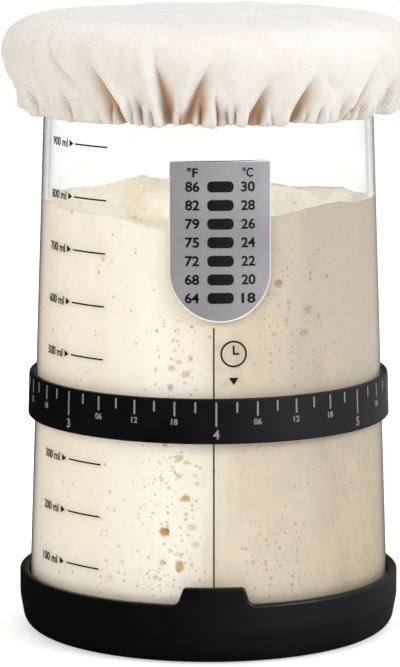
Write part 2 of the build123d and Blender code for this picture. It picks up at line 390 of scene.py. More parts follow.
# Cotton: undyed plain weave, soft and matt. Its threads lie about 0.55 mm apart.
cottonLook = {
    "pale": "#F1F2F3",
    "cream": "#E9E8E5",
    # the gaps between threads are painted shade, and on the side the gaps and the cloth are painted warmer as
    # painted warm light
    "topGapShade": "#D8D7D6",
    "sideGapShade": "#DBD2C5",
    "side": "#FFFDF9",
    # the deep colour is painted shade in the folds
    "deep": "#B07E45",
    "thread": 0.55 * mm,
    "threadHeight": 0.12 * mm,
    "threadShare": 0.55,               # of the weave's height, above which a thread has its full colour
    "slub": 6 * mm,                    # thicker stretches of thread
    "slubShare": 0.6,                  # their share in the colour, and in the height
    "slubHeight": 0.8,
    "cloud": 30 * mm,
    "cloudEnds": (0.6, 1.0),
    "topEnds": (42 * mm, 58 * mm),     # the flat top turns into the side between these, along the cloth
    "foldShadeFrom": 0.05,                  # the depth at which a fold's painted shade begins
    "foldShadeMost": 0.76,                  # share of the painted fold shade in the deepest folds
    "lightThrough": (1.0, 0.25),       # on the top and on the side
    "roughness": 0.9,
    "specular": 0.2,
    "sheen": 0.2,
    "sheenRoughness": 0.5,
}


def wovenCotton(tree, look):
    flat = addNode(tree, "UVMap", {"uv_map": "cut"})
    slub = addNode(tree, "TexNoise", {
        "noise_dimensions": "2D", "Vector": flat, "Scale": 1 / look["slub"], "Detail": 3.0})
    cloud = addNode(tree, "TexNoise", {
        "noise_dimensions": "2D", "Vector": flat, "Scale": 1 / look["cloud"], "Detail": 3.0})
    # at scale 1 the texture's bands lie a tenth of pi apart
    waves = [addNode(tree, "TexWave", {
        "bands_direction": way, "Vector": flat, "Scale": math.pi / 10 / look["thread"],
        "Distortion": 0.5, "Detail": 1.0}) for way in ("X", "Y")]
    over = addNode(tree, "TexChecker", {"Vector": flat, "Scale": 1 / look["thread"]})
    weave = addNode(tree, "Mix", {
        "data_type": "FLOAT", 0: over.outputs["Fac"], 2: waves[0].outputs["Fac"], 3: waves[1].outputs["Fac"]})
    thread = addNode(tree, "MapRange", {"Value": weave, "From Max": look["threadShare"]})
    mottle = addNode(tree, "Math", {"operation": "MULTIPLY_ADD", 0: slub, 1: look["slubShare"], 2: cloud})
    fromMiddle = addNode(tree, "VectorMath", {"operation": "LENGTH", 0: flat})
    side = addNode(tree, "MapRange", {"Value": fromMiddle, **ends("From", look["topEnds"])})
    body = paint(tree, mottle, zip(look["cloudEnds"], (look["pale"], look["cream"])))
    # painted shade between the threads, warmer on the side, where the cloth's tone is painted warmer too as
    # painted warm light
    gapShade = paint(tree, side, enumerate((look["topGapShade"], look["sideGapShade"])))
    sideWarmLit = addNode(tree, "Mix", {
        "data_type": "RGBA", "blend_type": "MULTIPLY", 0: side, 6: body, 7: shade(look["side"])})
    threaded = addNode(tree, "Mix", {"data_type": "RGBA", 0: thread, 6: gapShade, 7: sideWarmLit})
    # painted shade in the folds, from how deep the cloth lies in them
    fold = addNode(tree, "Attribute", {"attribute_name": "fold"})
    foldShadeShare = addNode(tree, "MapRange", {
        "interpolation_type": "SMOOTHSTEP", "Value": fold.outputs["Fac"], "From Min": look["foldShadeFrom"],
        "To Max": look["foldShadeMost"]})
    foldShaded = addNode(tree, "Mix", {"data_type": "RGBA", 0: foldShadeShare, 6: threaded, 7: shade(look["deep"])})
    height = addNode(tree, "Math", {"operation": "MULTIPLY_ADD", 0: slub, 1: look["slubHeight"], 2: weave})
    bump = addNode(tree, "Bump", {"Height": height, "Distance": look["threadHeight"], "Strength": 0.7})
    surface = addNode(tree, "BsdfPrincipled", {
        "Base Color": foldShaded, "Roughness": look["roughness"], "Specular IOR Level": look["specular"],
        "Sheen Weight": look["sheen"], "Sheen Roughness": look["sheenRoughness"], "Normal": bump})
    # the open weave lets light through to the starter, most where it lies in one layer over the mouth
    unseen = eitherRay(tree, "Is Shadow Ray", "Is Diffuse Ray")
    passes = addNode(tree, "MapRange", {"Value": side, **ends("To", look["lightThrough"])})
    opened = addNode(tree, "Math", {"operation": "MULTIPLY", 0: unseen, 1: passes})
    clear = addNode(tree, "BsdfTransparent", {})
    return addNode(tree, "MixShader", {0: opened, 1: surface, 2: clear})


silicone = makeMaterial("siliconeMouldedMatt", mouldedSilicone, siliconeLook)
glass = makeMaterial("glassPressedClear", pressedGlass, glassLook)
paste = makeMaterial("starterWetFlourPaste", wetStarter, starterLook)
film = makeMaterial("filmSilverPolyester", silverFilm, filmLook)
cotton = makeMaterial("cottonWovenUndyed", wovenCotton, cottonLook)
blackInk, whiteInk, windowInk, rimFilm, thread = [
    makeMaterial(name, thinFinish, look) for name, look in thinLooks.items()]
print("materials made")

cadFinishes = {
    "silicone_base": silicone, "feeding_band": silicone, "glass_jar": glass, "index_line": blackInk,
    "thermometer_strip": film, "band_day_ticks": whiteInk, "band_six_hour_ticks": whiteInk,
    "band_three_hour_ticks": whiteInk,
}
for name, node in nodes.items():
    finish = cadFinishes.get(name)
    if name.startswith("volume_mark"):
        finish = blackInk
    if name.startswith("thermometer_window"):
        finish = windowInk
    if finish:
        for slot in node.material_slots:
            slot.material = finish


# The starter: one wet lump that fills the glass, pitted where gas presses on the wall
starter = {
    "meanRadius": 48 * mm,
    "glassWall": 1.8 * mm,
    "wetOverlap": 0.16 * mm,   # how far it reaches into the wall, so that no air shows between them
    "floor": 9.0 * mm,
    "cornerRound": 9.0 * mm,
    "level": 117.5 * mm,
    "contactAngles": (-180, -135, -92, -41, -16, 0, 20, 43, 92, 135, 180),
    "contactHeights": (119.0, 119.4, 121, 119.9, 117.0, 118.2, 120.6, 122.3, 121, 119.4, 119.0),
    "contactWaves": ((0.35, 9, 1), (0.16, 21, 2), (0.06, 46, 0)),     # height, number round the jar, phase
    # crests of the surface: across, back, height and ball radius
    "lumps": ((-17, 0, 125.6, 40), (18, 8, 121.8, 36), (27, -9, 121.4, 24), (-27, -18, 121.0, 22),
              (3, -23, 120.0, 28), (-6, 27, 121.2, 30), (34, 14, 120.8, 18), (-34, 8, 121.8, 20)),
    "columns": 400,
    "crowding": 0.5,           # how much closer the columns stand at the front, where the bubbles show
    "sideRows": 190,
    "topRows": 32,
    # gas bubbles on the wall that show as large: angle, height, width, height of the bubble, its painted shade
    "largeBubbles": ((-15.9, 35.6, 2.7, 2.3, 1.0), (-10.9, 26.3, 2.2, 3.1, 0.8), (-9.0, 44.8, 2.4, 1.8, 0.75),
                     (-7.0, 37.0, 2.4, 1.6, 0.4), (-5.7, 32.4, 1.7, 1.5, 0.4), (-11.3, 50.8, 1.5, 1.3, 0.45),
                     (-8.7, 54.5, 2.0, 1.4, 0.4), (-16.9, 49.5, 1.4, 1.3, 0.4), (-18.8, 22.9, 1.6, 1.4, 0.45),
                     (-14.0, 79.8, 2.0, 1.7, 0.5), (-9.2, 78.3, 2.2, 1.8, 0.55), (-14.3, 74.7, 1.5, 1.6, 0.7),
                     (-16.4, 27.1, 1.6, 1.5, 0.6), (-13.8, 30.2, 1.3, 1.2, 0.4), (-10.8, 29.3, 1.3, 1.1, 0.45),
                     (-7.1, 26.7, 1.2, 1.1, 0.4), (-35.0, 21.5, 1.6, 1.8, 0.35), (-30.5, 26.5, 1.2, 1.0, 0.4),
                     (-15.9, 59.2, 1.3, 1.2, 0.55), (-11.2, 55.8, 2.2, 1.6, 0.5), (-11.6, 81.6, 1.6, 1.4, 0.5),
                     (-13.0, 84.5, 1.1, 1.0, 0.4), (-7.8, 83.0, 1.1, 1.0, 0.4), (-5.5, 49.0, 1.2, 1.1, 0.4),
                     (22.2, 102.3, 2.5, 2.0, 0.72), (33.5, 94.3, 1.8, 2.0, 0.5), (31.7, 88.2, 2.8, 2.0, 0.5),
                     (25, 92, 1.4, 1.1, 0.35), (20.5, 88.5, 1.6, 1.3, 0.3), (-40, 108, 1.2, 1.0, 0.5),
                     (120, 60, 2.6, 2.2, 0.8), (150, 84, 2.0, 1.8, 0.6), (-120, 42, 2.4, 2.0, 0.7),
                     (-95, 70, 1.9, 1.6, 0.5), (178, 38, 2.2, 2.4, 0.7), (96, 30, 1.8, 1.6, 0.5)),
    # fields of small bubbles: angles from and to, heights from and to, share of the spots that show
    "fizzFields": ((-28, -3, 14, 66, 1.0), (-44, -20, 14, 48, 0.35), (-24, -4, 70, 96, 0.8),
                   (7, 34, 14, 42, 1.0), (12, 46, 76, 116, 0.6), (100, 170, 20, 100, 0.4),
                   (-160, -110, 20, 90, 0.4)),
    "fizzElsewhere": 0.08,
    "fizzSoft": 6.0,               # width over which a field fades, in degrees and millimetres
    "uneven": 0.3 * mm,            # of the surface, with its longest and shortest wave, number and seed
    "waves": (20 * mm, 7 * mm, 14, 5),
    "ragged": 0.08,                # of a large bubble's outline, with its waves
    "raggedWaves": (3 * mm, 1 * mm, 12, 8),
    "bubbleShadeReach": (1.5, 0.85),     # where its painted shade ends, the outline being 1, and over which it grows
    "pitShare": 0.3,               # depth of a large bubble, as a share of its half width
    "edgeRound": 5 * mm,           # the surface leaves the wall's line over this width
}


def contactLine(angle):
    # where the surface meets the glass, for angles in radians
    degreesRound = np.degrees(halfTurn(angle))
    line = np.interp(degreesRound, starter["contactAngles"], starter["contactHeights"]) * mm
    waves = sum(height * np.sin(angle * count + phase) for height, count, phase in starter["contactWaves"])
    return line + waves * mm


def starterHeight(x, y):
    # height of the surface away from the wall
    height = np.full_like(x, starter["level"])
    for lumpX, lumpY, crest, ball in starter["lumps"]:
        inside = np.clip((ball * mm) ** 2 - (x - lumpX * mm) ** 2 - (y - lumpY * mm) ** 2, 0, None)
        height = np.maximum(height, (crest - ball) * mm + np.sqrt(inside))
    return height + starter["uneven"] * ripples(x, y, *starter["waves"])


def fizzShare(angle, height):
    # share of the small bubbles that show at places on the wall
    degreesRound, rise = np.degrees(halfTurn(angle)), height / mm
    fizz = np.full_like(height, starter["fizzElsewhere"])
    soft = starter["fizzSoft"]
    for left, right, low, high, share in starter["fizzFields"]:
        inside = (smoothStep((degreesRound - left) / soft) * smoothStep((right - degreesRound) / soft)
                  * smoothStep((rise - low) / soft) * smoothStep((high - rise) / soft))
        fizz = np.maximum(fizz, share * inside)
    return fizz


def makeStarter():
    columns = starter["columns"]
    even = roundAngles(columns)
    angles = even - starter["crowding"] * np.sin(even)
    reach = starter["wetOverlap"] - starter["glassWall"]
    cornerTop = starter["floor"] + starter["cornerRound"]
    cornerAxis = glassRadius(cornerTop) + reach - starter["cornerRound"]
    rows, bubbleShade, fizz = [], [], []
    for share in (0.35, 0.7, 1.0):
        rows.append(roundJar(cornerAxis * share, angles, starter["floor"] - starter["wetOverlap"]))
    for turn in np.linspace(-math.pi / 2, 0, 9)[1:-1]:
        rows.append(roundJar(cornerAxis + starter["cornerRound"] * math.cos(turn), angles,
                             cornerTop + starter["cornerRound"] * math.sin(turn)))
    bubbleShade += [np.zeros(columns)] * len(rows)
    fizz += [np.zeros(columns)] * len(rows)
    contact = contactLine(angles)
    share = np.linspace(0, 1, starter["sideRows"])[:, None]
    heights = cornerTop + (contact[None, :] - cornerTop) * share
    pits, paintedShade = np.zeros_like(heights), np.zeros_like(heights)
    ragged = 1 + starter["ragged"] * ripples(
        angles[None, :] * starter["meanRadius"] + 0 * heights, heights, *starter["raggedWaves"])
    shadeEnd, shadeOver = starter["bubbleShadeReach"]
    for degreesRound, rise, width, tall, shadeStrength in starter["largeBubbles"]:
        angle, z = math.radians(degreesRound), rise * mm
        halfWidth, halfHeight = width * mm / 2, tall * mm / 2
        across = halfTurn(angles[None, :] - angle) * starter["meanRadius"]
        distance = (across / halfWidth) ** 2 + ((heights - z) / halfHeight) ** 2
        near = distance < 2 * shadeEnd
        away = distance[near] * ragged[near]
        depth = starter["pitShare"] * min(halfWidth, halfHeight)
        pits[near] = np.maximum(pits[near], depth * np.sqrt(np.clip(1 - away, 0, None)))
        paintedShade[near] = np.maximum(paintedShade[near], smoothStep((shadeEnd - away) / shadeOver) * shadeStrength)
    for row in range(starter["sideRows"]):
        radius = glassRadius(heights[row]) + reach - pits[row]
        rows.append(roundJar(radius, angles, heights[row]))
        bubbleShade.append(paintedShade[row])
        fizz.append(fizzShare(angles, heights[row]))
    sidePoints = 1 + len(rows) * columns
    edge = glassRadius(contact) + reach
    for step in np.linspace(1, 0, starter["topRows"] + 1)[1:-1]:
        radius = edge * step
        points = roundJar(radius, angles, 0)
        inward = smoothStep((edge - radius) / starter["edgeRound"])
        height = contact + (starterHeight(points[:, 0], points[:, 1]) - contact) * inward
        rows.append(roundJar(radius, angles, height))
        bubbleShade.append(np.zeros(columns))
        fizz.append(np.full(columns, starter["fizzElsewhere"]))
    centreTop = starterHeight(np.zeros(1), np.zeros(1))[0]
    points = np.concatenate([[[0, 0, starter["floor"] - starter["wetOverlap"]]]] + rows + [[[0, 0, centreTop]]])
    faces = ringFaces(len(rows), columns)
    last, top = 1 + (len(rows) - 1) * columns, len(points) - 1
    faces += [(top, last + (column + 1) % columns, last + column) for column in range(columns)]
    # rows run from the bottom up, so the faces are turned to point outwards
    piece = makePiece("starterPaste", points, [face[::-1] for face in faces], paste)
    addPointValues(piece, "bubbleShade", np.concatenate([[0.0]] + bubbleShade + [[0.0]]))
    addPointValues(piece, "fizz", np.concatenate([[0.0]] + fizz + [[0.0]]))
    # the top, where the stains gather and where the paste is painted paler as painted light from above
    addPointValues(piece, "crown", np.arange(len(points)) >= sidePoints)
    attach(piece, "jar")
    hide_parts("starter_dough")


makeStarter()


# Geometry Nodes for what repeats: bubbles of froth and stitches
def startTree(name, inputs):
    # a tree with a geometry input and output, and named inputs; its group input node is returned too
    tree = bpy.data.node_groups.new(name, "GeometryNodeTree")
    tree.interface.new_socket(name="Geometry", in_out="INPUT", socket_type="NodeSocketGeometry")
    for label, kind in inputs:
        tree.interface.new_socket(name=label, in_out="INPUT", socket_type=kind)
    tree.interface.new_socket(name="Geometry", in_out="OUTPUT", socket_type="NodeSocketGeometry")
    return tree, addNode(tree, "NodeGroupInput", {})


def endTree(tree, given, placed):
    # the instances are made real, smooth and of their finish
    solid = addNode(tree, "GeometryNodeRealizeInstances", {"Geometry": placed})
    smooth = addNode(tree, "GeometryNodeSetShadeSmooth", {"Geometry": solid})
    finish = addNode(tree, "GeometryNodeSetMaterial", {"Geometry": smooth, "Material": given.outputs["Finish"]})
    addNode(tree, "NodeGroupOutput", {"Geometry": finish})
    return tree


def growPiece(name, seedObject, tree, values):
    # runs the tree on an object and keeps the result as a plain mesh
    grow = seedObject.modifiers.new("grow", "NODES")
    grow.node_group = tree
    for item in tree.interface.items_tree:
        if item.in_out == "INPUT" and item.name in values:
            grow[item.identifier] = values[item.name]
    mesh = plainMesh(seedObject)
    mesh.name = name
    return addObject(name, mesh)


froth = {
    "perSquareMetre": 52000.0,
    "smallest": 0.3 * mm,
    "largest": 1.3 * mm,
    "flatness": 0.45,
    "seed": 3,
    "reach": 41 * mm,
    "columns": 96,
    "rings": 16,
}


def frothTree():
    tree, given = startTree("frothBubbles", [
        ("Bubbles Per Square Metre", "NodeSocketFloat"), ("Smallest Bubble", "NodeSocketFloat"),
        ("Largest Bubble", "NodeSocketFloat"), ("Flatness", "NodeSocketFloat"), ("Seed", "NodeSocketInt"),
        ("Finish", "NodeSocketMaterial")])
    spread = addNode(tree, "GeometryNodeDistributePointsOnFaces", {
        "Mesh": given.outputs["Geometry"], "Density": given.outputs["Bubbles Per Square Metre"],
        "Seed": given.outputs["Seed"]})
    ball = addNode(tree, "GeometryNodeMeshIcoSphere", {"Radius": 1.0, "Subdivisions": 2})
    chance = addNode(tree, "FunctionNodeRandomValue", {"data_type": "FLOAT", "Seed": given.outputs["Seed"]})
    uneven = addNode(tree, "Math", {"operation": "POWER", 0: chance, 1: 3.0})
    size = addNode(tree, "MapRange", {
        "Value": uneven, "To Min": given.outputs["Smallest Bubble"], "To Max": given.outputs["Largest Bubble"]})
    low = addNode(tree, "Math", {"operation": "MULTIPLY", 0: size, 1: given.outputs["Flatness"]})
    scale = addNode(tree, "CombineXYZ", {"X": size, "Y": size, "Z": low})
    placed = addNode(tree, "GeometryNodeInstanceOnPoints", {"Points": spread, "Instance": ball, "Scale": scale})
    return endTree(tree, given, placed)


def makeFroth():
    columns = froth["columns"]
    angles = roundAngles(columns)
    rings = [roundJar(froth["reach"] * step, angles, 0) for step in np.linspace(0.1, 1, froth["rings"])]
    points = np.concatenate([[[0, 0, 0]]] + rings)
    points[:, 2] = starterHeight(points[:, 0], points[:, 1])
    # the bubbles need only the upper side, so the patch is made facing up
    patch = makePiece("frothPatch", points, ringFaces(len(rings), columns), paste)
    piece = growPiece("starterFroth", patch, frothTree(), {
        "Bubbles Per Square Metre": froth["perSquareMetre"], "Smallest Bubble": froth["smallest"],
        "Largest Bubble": froth["largest"], "Flatness": froth["flatness"], "Seed": froth["seed"],
        "Finish": paste})
    # the froth takes the top's colour, with its painted light from above
    addPointValues(piece, "crown", np.ones(len(piece.data.vertices)))
    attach(piece, "jar")


makeFroth()
print("starter made")


# The cover: one round of cloth, flat over the mouth and gathered into a hem over elastic
cover = {
    # the cloth's line from the middle to the tucked hem, radius and height
    "line": ((0, 170.8), (30, 170.8), (41, 170.8), (47.5, 170.5), (51.8, 169.2), (54.9, 166.9), (56.8, 163.2),
             (56.9, 159.8), (55.9, 155.8), (54.7, 152.2), (53.6, 149.4), (53.0, 147.4), (52.1, 145.8),
             (50.6, 145.0), (49.0, 145.3), (48.0, 146.6), (47.5, 148.6), (47.3, 151.0)),
    "hem": 145.2 * mm,
    "cloth": 0.55 * mm,
    "columns": 840,
    "firstRow": 5 * mm,        # flatRows rows of points from here to flatRadius, then rows rowSpacing apart
    "flatRows": 8,
    "flatRadius": 41 * mm,
    "rowSpacing": 0.95 * mm,
    # folds that show from the front: angle at the hem, angle at the top, reach, depth, width, steep side
    "frontFolds": ((-60, -63, 13, 3.4, 1.6, 1), (-50, -53, 11, 3.0, 1.4, 1), (-27, -42, 24, 6.4, 2.3, 1),
                   (-14, -18, 25, 6.2, 2.1, -1), (-8.6, 2.0, 23, 6.2, 2.3, -1), (10.6, 17.5, 17, 5.4, 2.1, -1),
                   (23.5, 31.5, 18, 6.0, 2.4, -1), (43.6, 56, 20, 6.0, 2.3, -1), (63, 66, 12, 3.4, 1.6, 1)),
    # a soft dent high on the side: angle, height, half width, half height, depth, lean
    "dents": ((-47, 160.0, 1.3, 6.5, 2.2, -1.0), (-57, 155.5, 1.4, 4.5, 1.6, -0.3),
              (35, 156, 2.4, 5.5, 1.2, -0.7), (3, 155.5, 2.0, 5.0, 0.9, -0.4),
              (-20, 153, 1.8, 4.5, 1.0, 0.6), (58, 157, 2.4, 4.5, 1.2, -0.9)),
    "dentRadius": 55,          # in millimetres, like the dents
    # folds round the sides and the back: where they begin and how far they go round, in degrees, how uneven
    # their spacing is, how far their tops lean, and reach, depth and width as (least, more) in millimetres
    "backFolds": 17,
    "backFrom": 76,
    "backTurn": 208,
    "backShift": 0.5,
    "backLean": 16,
    "backSizes": ((9, 11), (3, 2.6), (1.5, 0.9)),
    # puckers at the hem, described in the same way, with the lean in radians
    "puckers": 98,
    "puckerShift": 0.6,
    "puckerLean": 0.05,
    "puckerReach": (4.2, 7.5),
    "puckerDepth": 4.4 * mm,
    "puckerWidth": (0.55, 0.35),
    "nearest": 46.35 * mm,     # past nearestFrom along the cloth, it comes no nearer to the axis
    "nearestFrom": 50 * mm,
    "seed": 4,
    # a fold's outline: widths of its steep and soft side as shares of its width, at the hem and more at its top
    "foldRadius": 52 * mm,
    "foldReach": 12,           # how far it is felt to either side, in its widths
    "foldBend": 1.3,           # above 1, its middle runs straight up from the hem before it leans
    "foldFade": 1.1,           # above 1, it keeps its depth for a stretch before it fades
    "hemShare": (0.8, 0.2),    # share of its depth at the hem, and the rest, which it has from hemRise up
    "hemRise": 4 * mm,
    "steep": (0.4, 0.15),
    "soft": (1.4, 1.0),
    "sharp": 1.15,
    "roll": 0.26,              # height of the roll beside the steep side, as a share of the depth
    "rollPlace": (2.6, 1.3),   # its middle and its width, as shares of the steep side's
    "deepest": 7.0 * mm,       # folds that meet don't add up past this
    "shadeFrom": 0.5 * mm,      # the depth at which a fold's painted shade begins, and over which it grows
    "shadeOver": 3.8 * mm,
    "sideStart": 44 * mm,      # the top turns into the side here, along the cloth, over this length
    "sideOver": 12 * mm,
    "tuckOver": 4 * mm,        # past the hem the folds lose tuckShare of their depth over this length
    "tuckShare": 0.7,
    # unevenness: the longest and shortest wave, number of waves and seed, then its heights
    "waves": (34 * mm, 10 * mm, 16, 21),
    "fineWaves": (6 * mm, 2.6 * mm, 14, 22),
    "rumple": 0.12 * mm,
    "fineRumple": 0.05 * mm,
    "topRumple": 0.16 * mm,
    "hemRumple": 0.2 * mm,
    "hemLift": 0.08,           # how far a fold lifts the hem, as a share of its depth
    "hemOver": 3.5 * mm,       # and how far up the side this is felt
}


def coverLine():
    # corners of the line rounded off, then the length along it
    points = np.array(cover["line"]) * mm
    for turn in range(3):
        cut = [points[0]]
        for a, b in zip(points[:-1], points[1:]):
            cut += [a * 0.75 + b * 0.25, a * 0.25 + b * 0.75]
        points = np.array(cut + [points[-1]])
    steps = np.hypot(*np.diff(points, axis=0).T)
    return np.concatenate([[0], np.cumsum(steps)]), points


lineAlong, linePlaces = coverLine()
coverLength = lineAlong[-1]
hemAlong = lineAlong[np.argmin(linePlaces[:, 1])]


def foldList():
    # angle at the hem and at the top in radians, reach, depth, width in metres, steep side
    dice = np.random.default_rng(cover["seed"])
    folds = list(cover["frontFolds"])
    for fold in range(cover["backFolds"]):
        step = fold + 0.5 + cover["backShift"] * (dice.random() - 0.5)
        angle = cover["backFrom"] + step * (cover["backTurn"] / cover["backFolds"])
        big = dice.random()
        top = angle + cover["backLean"] * (dice.random() - 0.5)
        sizes = [least + more * big for least, more in cover["backSizes"]]
        folds.append((angle, top, *sizes, 1 if dice.random() > 0.5 else -1))
    folds = [(math.radians(a), math.radians(b), r * mm, d * mm, w * mm, side) for a, b, r, d, w, side in folds]
    reach, width = cover["puckerReach"], cover["puckerWidth"]
    for pucker in range(cover["puckers"]):
        step = pucker + cover["puckerShift"] * (dice.random() - 0.5)
        angle = step * 2 * math.pi / cover["puckers"]
        big = dice.random()
        top = angle + cover["puckerLean"] * (dice.random() - 0.5)
        folds.append((angle, top, (reach[0] + reach[1] * big ** 2) * mm,
                      cover["puckerDepth"] * (0.5 + 0.5 * big), (width[0] + width[1] * big) * mm,
                      1 if dice.random() > 0.5 else -1))
    return folds


def coverPoints(angle, along):
    # places on the cloth and how deep in a fold each lies, for angle in radians and length from the middle
    radius = np.interp(along, lineAlong, linePlaces[:, 0])
    height = np.interp(along, lineAlong, linePlaces[:, 1])
    above = np.where(along < hemAlong, height - cover["hem"], 0)
    depth = np.zeros_like(radius)
    for low, high, reach, deep, wide, side in foldList():
        up = np.clip(above / reach, 0, 1)
        centre = low + (high - low) * up ** cover["foldBend"]
        across = halfTurn(angle - centre) * cover["foldRadius"] * side
        near = np.abs(across) < cover["foldReach"] * wide
        a, u = across[near], up[near]
        # a sharp dip with a steep and a soft side, and a small roll beside the steep one, fading at its top
        steep, soft = [wide * (atHem + more * u) for atHem, more in (cover["steep"], cover["soft"])]
        dip = np.exp(-(np.abs(a) / np.where(a > 0, steep, soft)) ** cover["sharp"])
        rollPlace, rollWidth = cover["rollPlace"]
        roll = cover["roll"] * np.exp(-((a - rollPlace * steep) / (rollWidth * steep)) ** 2)
        atHem, more = cover["hemShare"]
        rise = smoothStep((1 - u) * cover["foldFade"])
        rise = rise * (atHem + more * smoothStep(above[near] / cover["hemRise"]))
        depth[near] += deep * rise * (dip - roll)
    for place, z, halfWide, halfTall, deep, lean in cover["dents"]:
        across = halfTurn(angle - math.radians(place)) * cover["dentRadius"] - lean * (height / mm - z)
        away = (across / halfWide) ** 2 + ((height / mm - z) / halfTall) ** 2
        depth += deep * mm * np.exp(-away) * (along < hemAlong)
    limit = cover["deepest"]
    depth = np.where(depth > 0, limit * np.tanh(depth / limit), depth)
    x, y = along * np.sin(angle), -along * np.cos(angle)
    rumple, fine = [ripples(x, y, *waves) for waves in (cover["waves"], cover["fineWaves"])]
    onSide = smoothStep((along - cover["sideStart"]) / cover["sideOver"])
    tucked = smoothStep((along - hemAlong) / cover["tuckOver"])
    uneven = cover["rumple"] * rumple + cover["fineRumple"] * fine
    radius = radius - depth * (1 - cover["tuckShare"] * tucked) + onSide * (1 - tucked) * uneven
    radius = np.where(along > cover["nearestFrom"], np.maximum(radius, cover["nearest"]), radius)
    nearHem = smoothStep(1 - above / cover["hemOver"])
    lift = (1 - onSide) * cover["topRumple"] * rumple
    lift += onSide * nearHem * (cover["hemLift"] * depth + cover["hemRumple"] * rumple)
    points = roundJar(radius, angle, 0)
    points[..., 2] = height + lift
    return points, depth


def makeCover():
    columns = cover["columns"]
    angles = roundAngles(columns)
    topRows = np.linspace(cover["firstRow"], cover["flatRadius"], cover["flatRows"])
    sideRows = np.arange(cover["flatRadius"], coverLength, cover["rowSpacing"])[1:]
    grid, turn = np.meshgrid(np.concatenate([topRows, sideRows]), angles, indexing="ij")
    places, depth = coverPoints(turn, grid)
    points = np.concatenate([[[0, 0, linePlaces[0, 1]]], places.reshape(-1, 3)])
    piece = makePiece("coverCloth", points, ringFaces(len(grid), columns), cotton)
    # painted shade in the folds, from their depth
    paintedShade = smoothStep((depth.ravel() - cover["shadeFrom"]) / cover["shadeOver"])
    addPointValues(piece, "fold", np.concatenate([[0.0], paintedShade]))
    # the round as it was cut, laid flat in metres, so that the weave follows the cloth
    flat = np.concatenate([[[0, 0]], np.stack([grid * np.sin(turn), -grid * np.cos(turn)], -1).reshape(-1, 2)])
    uv = piece.data.uv_layers.new(name="cut")
    corners = np.empty(len(piece.data.loops), dtype=np.int32)
    piece.data.loops.foreach_get("vertex_index", corners)
    uv.data.foreach_set("uv", flat[corners].ravel())
    wall = piece.modifiers.new("clothThickness", "SOLIDIFY")
    wall.thickness = cover["cloth"]
    wall.offset = 0.0
    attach(piece, "cover")
    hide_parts("cover_cloth", "hem_elastic")
    return piece


coverPiece = makeCover()

# cotton thread that closes the casing: a row of lockstitches round the hem, above the elastic
stitches = {"height": 151.2 * mm, "length": 1.9 * mm, "pitch": 2.7 * mm, "thread": 0.2 * mm,
            "clear": 0.05 * mm, "corners": 720}


def stitchTree():
    tree, given = startTree("hemStitches", [
        ("Stitch Length", "NodeSocketFloat"), ("Stitch Pitch", "NodeSocketFloat"),
        ("Thread Thickness", "NodeSocketFloat"), ("Finish", "NodeSocketMaterial")])
    line = addNode(tree, "GeometryNodeMeshToCurve", {"Mesh": given.outputs["Geometry"]})
    steps = addNode(tree, "GeometryNodeResampleCurve", {
        "mode": "LENGTH", "Curve": line, "Length": given.outputs["Stitch Pitch"]})
    heading = addNode(tree, "GeometryNodeInputTangent", {})
    turned = addNode(tree, "FunctionNodeAlignRotationToVector", {"axis": "Z", "Vector": heading})
    grain = addNode(tree, "GeometryNodeMeshUVSphere", {"Segments": 8, "Rings": 6, "Radius": 0.5})
    scale = addNode(tree, "CombineXYZ", {
        "X": given.outputs["Thread Thickness"], "Y": given.outputs["Thread Thickness"],
        "Z": given.outputs["Stitch Length"]})
    placed = addNode(tree, "GeometryNodeInstanceOnPoints", {
        "Points": steps, "Instance": grain, "Rotation": turned, "Scale": scale})
    return endTree(tree, given, placed)


def makeStitches():
    outside = lineAlong < hemAlong
    along = np.interp(-stitches["height"], -linePlaces[outside, 1], lineAlong[outside])
    corners = stitches["corners"]
    angles = roundAngles(corners)
    line = coverPoints(angles, np.full_like(angles, along))[0]
    radius = np.hypot(line[:, 0], line[:, 1])
    line[:, :2] *= ((radius + cover["cloth"] / 2 + stitches["clear"]) / radius)[:, None]
    mesh = bpy.data.meshes.new("stitchLine")
    mesh.from_pydata([tuple(point) for point in line], [(i, (i + 1) % corners) for i in range(corners)], [])
    piece = growPiece("hemStitches", addObject("stitchLine", mesh), stitchTree(), {
        "Stitch Length": stitches["length"], "Stitch Pitch": stitches["pitch"],
        "Thread Thickness": stitches["thread"], "Finish": thread})
    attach(piece, "cover")
    return piece


stitchPiece = makeStitches()
print("cover made")


# Numbers printed round the jar
numbers = {
    "lift": 0.02 * mm,
    "ink": 0.03 * mm,
    "digitShare": 0.7,         # height of a digit as a share of the font's size
    "boldShare": 0.035,        # how much each stroke is thickened, as a share of a digit's height
}


def wrapRound(curve, angle, z, wide, radiusAt):
    # a flat curve or word, made a mesh and bent round the jar with its middle at an angle and a height
    mesh = plainMesh(addObject(curve.name, curve))
    flat = np.array([corner.co[:] for corner in mesh.vertices])
    faces = [tuple(face.vertices) for face in mesh.polygons]
    bpy.data.meshes.remove(mesh)
    flat[:, :2] -= (flat[:, :2].min(axis=0) + flat[:, :2].max(axis=0)) / 2
    if wide:
        flat[:, 0] *= wide / np.ptp(flat[:, 0])
    height = z + flat[:, 1]
    radius = radiusAt(height) + numbers["lift"] + flat[:, 2] + numbers["ink"] / 2
    points = roundJar(radius, math.radians(angle) + flat[:, 0] / radius, 0)
    points[:, 2] = height
    return points, faces


def joinPrints(name, prints, material):
    points, faces, start = [], [], 0
    for somePoints, someFaces in prints:
        points.append(somePoints)
        faces += [tuple(start + corner for corner in face) for face in someFaces]
        start += len(somePoints)
    return makePiece(name, np.concatenate(points), faces, material, smooth=False)


